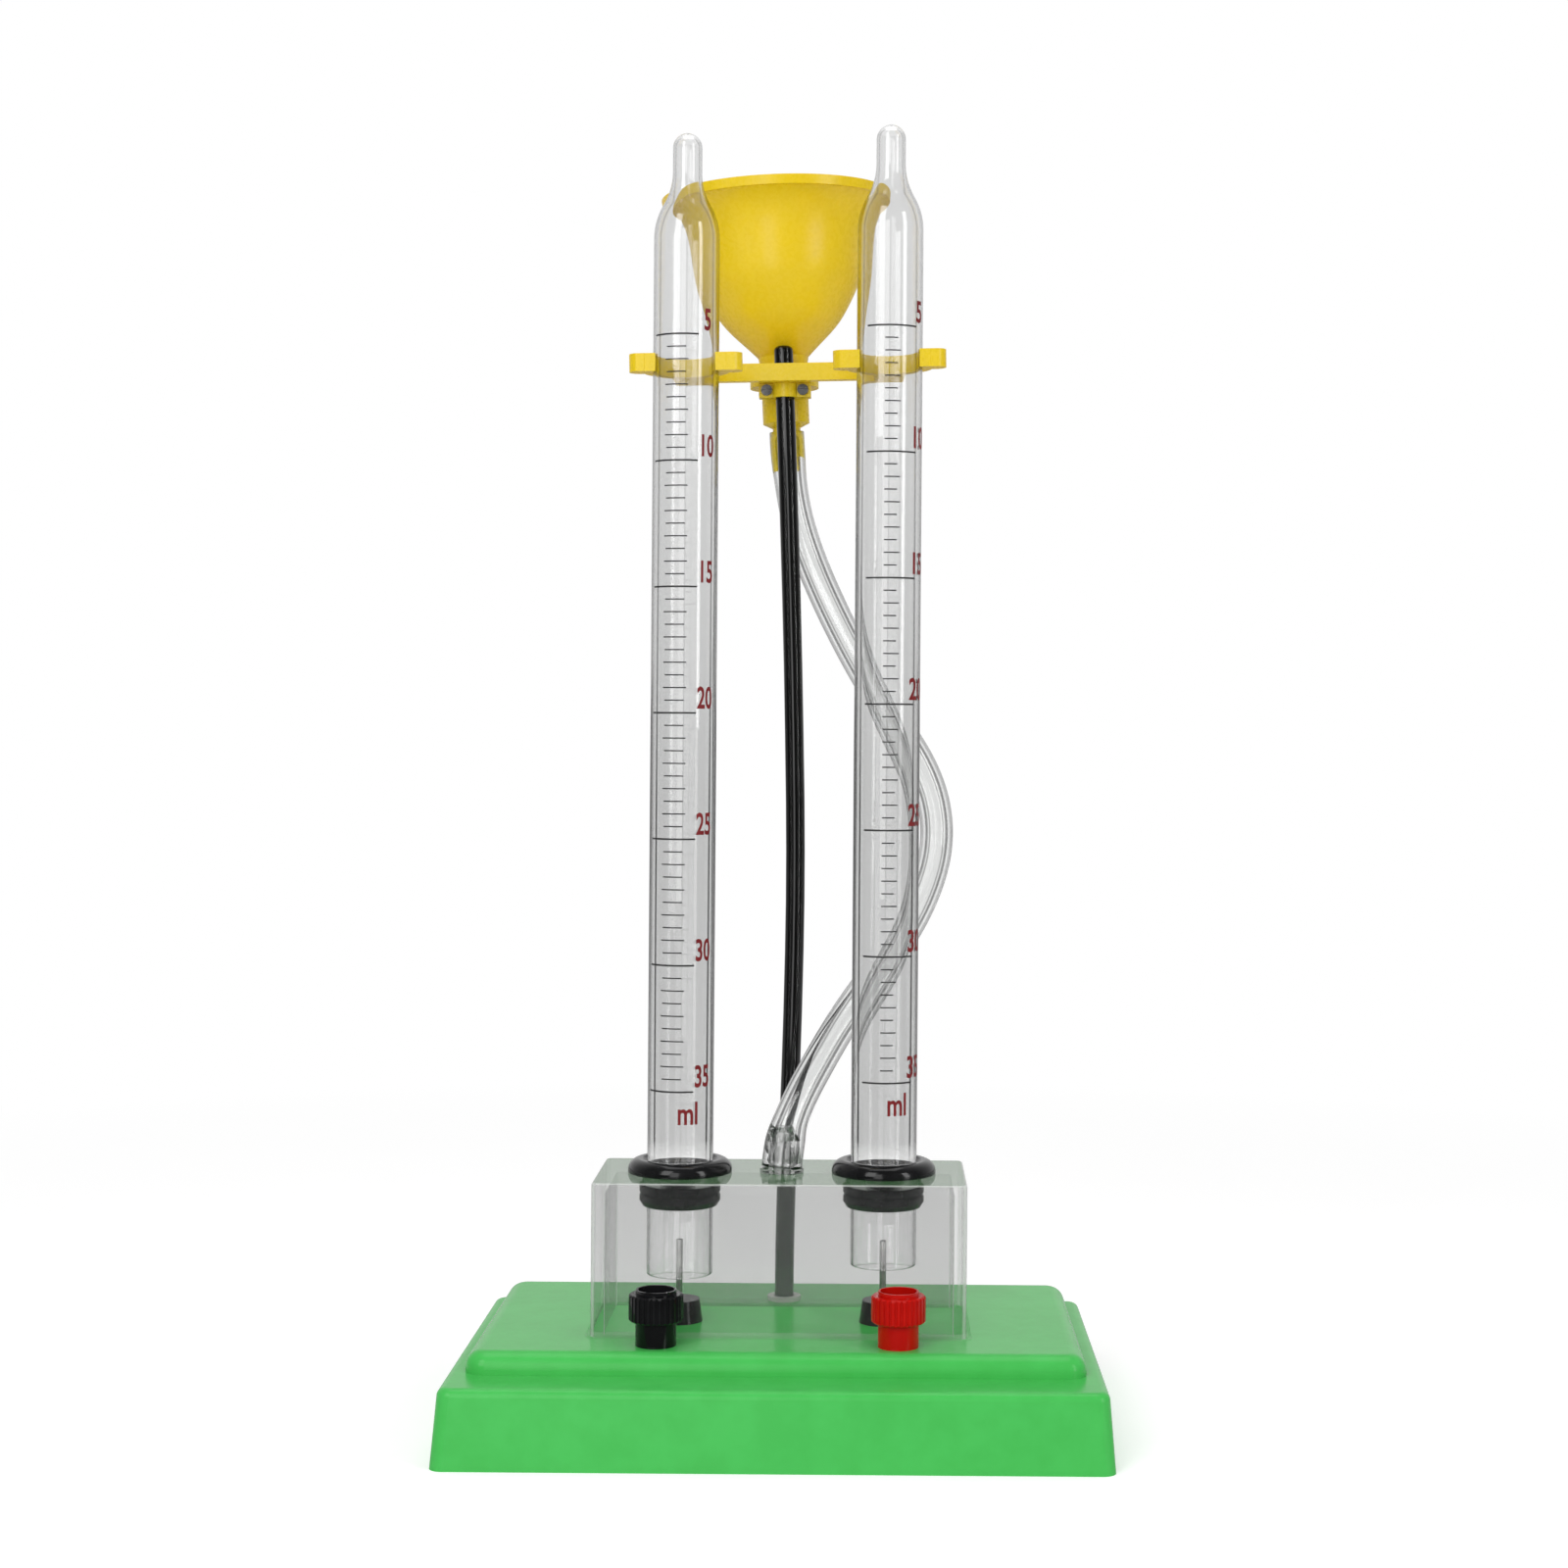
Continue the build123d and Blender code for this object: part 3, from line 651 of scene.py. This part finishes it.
def make_tube(side):
    """Glass tube with a rounded foot rim, turned about its own axis."""
    node = f"{side}_tube"
    low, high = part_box(node)
    centre = middle(node)
    half_wall = GLASS_WALL / 2
    outer = tube_side(0, low.z + half_wall, high.z)
    inner = tube_side(GLASS_WALL, low.z + half_wall, high.z)
    rim = arc(TUBE_R - half_wall, low.z + half_wall, half_wall, 180, 360, RIM_STEPS)[1:-1]
    profile = inner[::-1] + rim + outer
    points = []
    for r, z in profile:
        for j in range(TUBE_SEGMENTS):
            angle = 2 * pi * j / TUBE_SEGMENTS
            points.append((centre.x + r * cos(angle), centre.y + r * sin(angle), z))
    faces = ring_faces(len(profile), TUBE_SEGMENTS)
    piece = add_mesh(f"{side}_glass_tube", points, faces, GLASS, f"{side}_gas_tube")
    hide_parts(node)


for side in SIDES:
    make_tube(side)


# --------------------------------------------------------------------- printed scale
ML_PER_NUMBER = 5
MARKS_PER_ML = 2
MARKS_PER_NUMBER = MARKS_PER_ML * ML_PER_NUMBER
NUMBER_COUNT = 7
NUMBER_STEP = 30.7 * MM
MARK_COUNT = MARKS_PER_NUMBER * (NUMBER_COUNT - 1) + 1
MARK_STEP = NUMBER_STEP / MARKS_PER_NUMBER
# The scale counts down from its top mark, which stands this high above the tube's foot
TOP_MARK = 229.7 * MM
LONG_MARK = 0.42 * MM
FINE_MARK = 0.3 * MM
INK_LIFT = 0.012 * MM
INK_THICK = 0.018 * MM
# Angles about the tube, in degrees to the right of the front, and the width of the digits
PRINT_PLACES = {
    "left": {"long": (-61, 26), "one": (-34, 8), "half": (-31, 4), "digit": 44, "unit": 17, "narrow": 0.64},
    "right": {"long": (-42, 52), "one": (-8, 19), "half": (-8, 14), "digit": 61, "unit": 23, "narrow": 0.8},
}
DIGIT_SIZE = 7.4 * MM
DIGIT_RISE = 1.2 * MM
UNIT_SIZE = 7.7 * MM
UNIT_DROP = 7.8 * MM
UNIT_NARROW = 0.71
PRINT_BOLD = 0.16 * MM
FONT_STEPS = 4
BEND_DEGREES = 3
BEND_STEP = 0.4 * MM
MERGE_DISTANCE = 0.0001 * MM


def on_tube(centre, radius, angle, z):
    """Point at a radius and an angle about a tube, measured from the front to the right."""
    return (centre.x + radius * sin(angle), centre.y - radius * cos(angle), z)


def mark_points(centre, z, height, start, end):
    """Corners of one curved dash on the glass, in groups of four along it."""
    steps = ceil(abs(end - start) / BEND_DEGREES)
    inner_r = TUBE_R + INK_LIFT
    outer_r = inner_r + INK_THICK
    low, high = z - height / 2, z + height / 2
    points = []
    for i in range(steps + 1):
        angle = radians(start + (end - start) * i / steps)
        for radius, corner_z in ((inner_r, low), (outer_r, low), (outer_r, high), (inner_r, high)):
            points.append(on_tube(centre, radius, angle, corner_z))
    return points


def slab_faces(first, last):
    """Sides and ends of a closed slab whose corners run in groups of four."""
    faces = []
    for a in range(first, last, 4):
        for k in range(4):
            after = (k + 1) % 4
            faces.append((a + k, a + after, a + 4 + after, a + 4 + k))
    faces.append((first, first + 1, first + 2, first + 3))
    faces.append((last + 3, last + 2, last + 1, last))
    return faces


def make_scale(side):
    """Graduation marks of one tube, each a thin closed slab."""
    node = f"{side}_tube"
    centre = middle(node)
    top_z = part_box(node)[0].z + TOP_MARK
    points, faces = [], []
    for i in range(MARK_COUNT):
        kind = "long" if i % MARKS_PER_NUMBER == 0 else ("one" if i % MARKS_PER_ML == 0 else "half")
        height = LONG_MARK if kind == "long" else FINE_MARK
        first = len(points)
        points += mark_points(centre, top_z - i * MARK_STEP, height, *PRINT_PLACES[side][kind])
        faces += slab_faces(first, len(points) - 4)
    add_mesh(f"{side}_scale_marks", points, faces, INK, f"{side}_gas_tube", smooth=False)


def flat_print(words, size, narrow):
    """Characters as a flat slab, cut into strips so that it can bend."""
    data = bpy.data.curves.new(words, "FONT")
    data.body = words
    data.size = size
    data.align_x = "CENTER"
    data.resolution_u = FONT_STEPS
    data.extrude = INK_THICK / 2
    data.offset = PRINT_BOLD
    source = bpy.data.objects.new(words, data)
    mesh = bpy.data.meshes.new_from_object(source)
    bpy.data.objects.remove(source)
    cut = bmesh.new()
    cut.from_mesh(mesh)
    bmesh.ops.scale(cut, vec=(narrow, 1, 1), verts=cut.verts)
    strips = ceil(max(abs(v.co.x) for v in cut.verts) / BEND_STEP)
    for k in range(-strips, strips + 1):
        geometry = cut.verts[:] + cut.edges[:] + cut.faces[:]
        bmesh.ops.bisect_plane(cut, geom=geometry, plane_co=(k * BEND_STEP, 0, 0), plane_no=(1, 0, 0))
    bmesh.ops.remove_doubles(cut, verts=cut.verts, dist=MERGE_DISTANCE)
    cut.to_mesh(mesh)
    cut.free()
    return mesh


def print_on_tube(name, words, size, narrow, side, angle, z):
    """Characters wrapped round a tube, as thin raised print."""
    mesh = flat_print(words, size, narrow)
    mesh.name = name
    centre = middle(f"{side}_tube")
    for vertex in mesh.vertices:
        across, up, out = vertex.co
        turn = radians(angle) + across / TUBE_R
        radius = TUBE_R + INK_LIFT + INK_THICK / 2 + out
        vertex.co = on_tube(centre, radius, turn, z + up)
    mesh.update()
    mesh.materials.clear()
    mesh.materials.append(RED_INK)
    add_piece(name, mesh, f"{side}_gas_tube")


def make_numbers(side):
    """Numbers at every fifth millilitre, and the unit under the scale."""
    top_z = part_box(f"{side}_tube")[0].z + TOP_MARK
    places = PRINT_PLACES[side]
    for i in range(NUMBER_COUNT):
        value = str(ML_PER_NUMBER * (i + 1))
        z = top_z - i * NUMBER_STEP + DIGIT_RISE
        name = f"{side}_number_{value}"
        print_on_tube(name, value, DIGIT_SIZE, places["narrow"], side, places["digit"], z)
    z = top_z - (MARK_COUNT - 1) * MARK_STEP - UNIT_DROP
    print_on_tube(f"{side}_unit", "ml", UNIT_SIZE, UNIT_NARROW, side, places["unit"], z)


for side in SIDES:
    make_scale(side)
    make_numbers(side)


# ---------------------------------------------------------------------- light and set
SEEN_RAYS = ("Is Camera Ray", "Is Transmission Ray")
AMBIENT_TONE, AMBIENT = (0.9, 0.9, 0.9, 1), 0.46
WHITE = (1, 1, 1, 1)
# Reflections see the world dim in front and white behind, between these shares of the way to the rear
GLOSS_FRONT, GLOSS_REAR = -0.1, 0.7
GLOSS_DIM = 0.12


def make_world():
    """White to the camera and through glass, softer as a light, and dimmer in front for reflections."""
    world = bpy.data.worlds.new("studio")
    bpy.context.scene.world = world
    graph = Graph(world)
    ambient = graph.nodes["Background"]
    graph.feed(ambient, {"Color": AMBIENT_TONE, "Strength": AMBIENT})
    to_rear = graph.axis(graph.place("Generated"), "Y")
    strength = graph.remap(to_rear, GLOSS_FRONT, GLOSS_REAR, GLOSS_DIM, 1.0)
    mirrored = graph.add("Background", {"Strength": strength}, "Background")
    bright = graph.add("Background", {"Color": WHITE, "Strength": 1.0}, "Background")
    glossy = graph.light_path("Is Glossy Ray")
    unseen = graph.mix_shaders(glossy, ambient.outputs["Background"], mirrored)
    shader = graph.mix_shaders(graph.light_path(*SEEN_RAYS), unseen, bright)
    graph.feed(graph.nodes["World Output"], {"Surface": shader})


FLOOR_SIZE = 60
FLOOR_ROUGHNESS, FLOOR_SPECULAR, FLOOR_GRAIN = 0.9, 0.1, 40.0
FLOOR_TONES = ((0.78, 0.78, 0.78), (0.8, 0.8, 0.8))
# Reflections see the floor darker in front of the object, from the first of these places to the second
FLOOR_MIRRORED = (0.1, 0.1, 0.1, 1)
FLOOR_MIRRORED_FROM, FLOOR_MIRRORED_TO = 0.0, -0.1
# The camera sees it turn white between these distances from the object's middle
FLOOR_NEAR, FLOOR_FAR = 0.15, 0.6
FLOOR_GLOW = 0.36


def floor_material():
    """Pale under the object, where it keeps the shadow, and white to the camera away from it."""
    material, graph, shader = new_material("floor")
    place = graph.place("Object")
    in_front = graph.remap(graph.axis(place, "Y"), FLOOR_MIRRORED_FROM, FLOOR_MIRRORED_TO)
    mirrored = graph.math("MULTIPLY", in_front, graph.light_path("Is Glossy Ray"))
    pale = graph.two_tone(graph.noise(FLOOR_GRAIN), *FLOOR_TONES)
    graph.feed(shader, {
        "Base Color": graph.mix("RGBA", mirrored, pale, FLOOR_MIRRORED),
        "Roughness": FLOOR_ROUGHNESS,
        "Specular IOR Level": FLOOR_SPECULAR,
    })
    seen = graph.light_path(*SEEN_RAYS)
    glow = graph.add("Emission", {"Strength": graph.remap(seen, 0, 1, 0, FLOOR_GLOW)}, "Emission")
    near = graph.add("AddShader", {0: shader.outputs["BSDF"], 1: glow}, "Shader")
    far = graph.add("Emission", {"Strength": 1.0}, "Emission")
    distance = graph.vector_math("LENGTH", (place,), "Value")
    share = graph.math("MULTIPLY", graph.remap(distance, FLOOR_NEAR, FLOOR_FAR), seen)
    set_surface(graph, graph.mix_shaders(share, near, far))
    return material


def make_floor():
    """Wide flat floor that the base stands on."""
    bpy.ops.mesh.primitive_plane_add(size=FLOOR_SIZE, location=(0, 0, 0))
    floor = bpy.context.object
    floor.name = "floor"
    floor.data.materials.append(floor_material())


OBJECT_MIDDLE = (0, 0, 0.15)
# Place, aim, width and height in metres, and power in watts
LAMPS = {
    "key": ((-0.55, -0.95, 0.75), OBJECT_MIDDLE, (0.45, 0.9), 5.6),
    "strip": ((-0.11, -0.62, 0.26), (0, 0, 0.25), (0.2, 0.5), 0.8),
    "fill": ((0.95, -0.7, 0.5), OBJECT_MIDDLE, (0.25, 0.9), 4),
    "top": ((0.0, 0.1, 1.2), OBJECT_MIDDLE, (0.8, 0.8), 4),
}


def add_lamp(name, place, aim, size, watts):
    """Rectangular soft lamp aimed at a point, not seen by the camera."""
    data = bpy.data.lights.new(name, "AREA")
    data.shape = "RECTANGLE"
    data.size, data.size_y = size
    data.energy = watts
    lamp = bpy.data.objects.new(name, data)
    lamp.location = place
    lamp.rotation_euler = (Vector(aim) - Vector(place)).to_track_quat("-Z", "Y").to_euler()
    lamp.visible_camera = False
    bpy.context.scene.collection.objects.link(lamp)


LIGHT_BOUNCES = 24


def set_render_look():
    """Plain view transform, and enough bounces to cross all the clear walls."""
    scene = bpy.context.scene
    scene.view_settings.view_transform = "Standard"
    scene.cycles.transmission_bounces = LIGHT_BOUNCES
    scene.cycles.max_bounces = LIGHT_BOUNCES
    scene.cycles.transparent_max_bounces = LIGHT_BOUNCES


make_world()
make_floor()
for name, settings in LAMPS.items():
    add_lamp(name, *settings)
set_render_look()
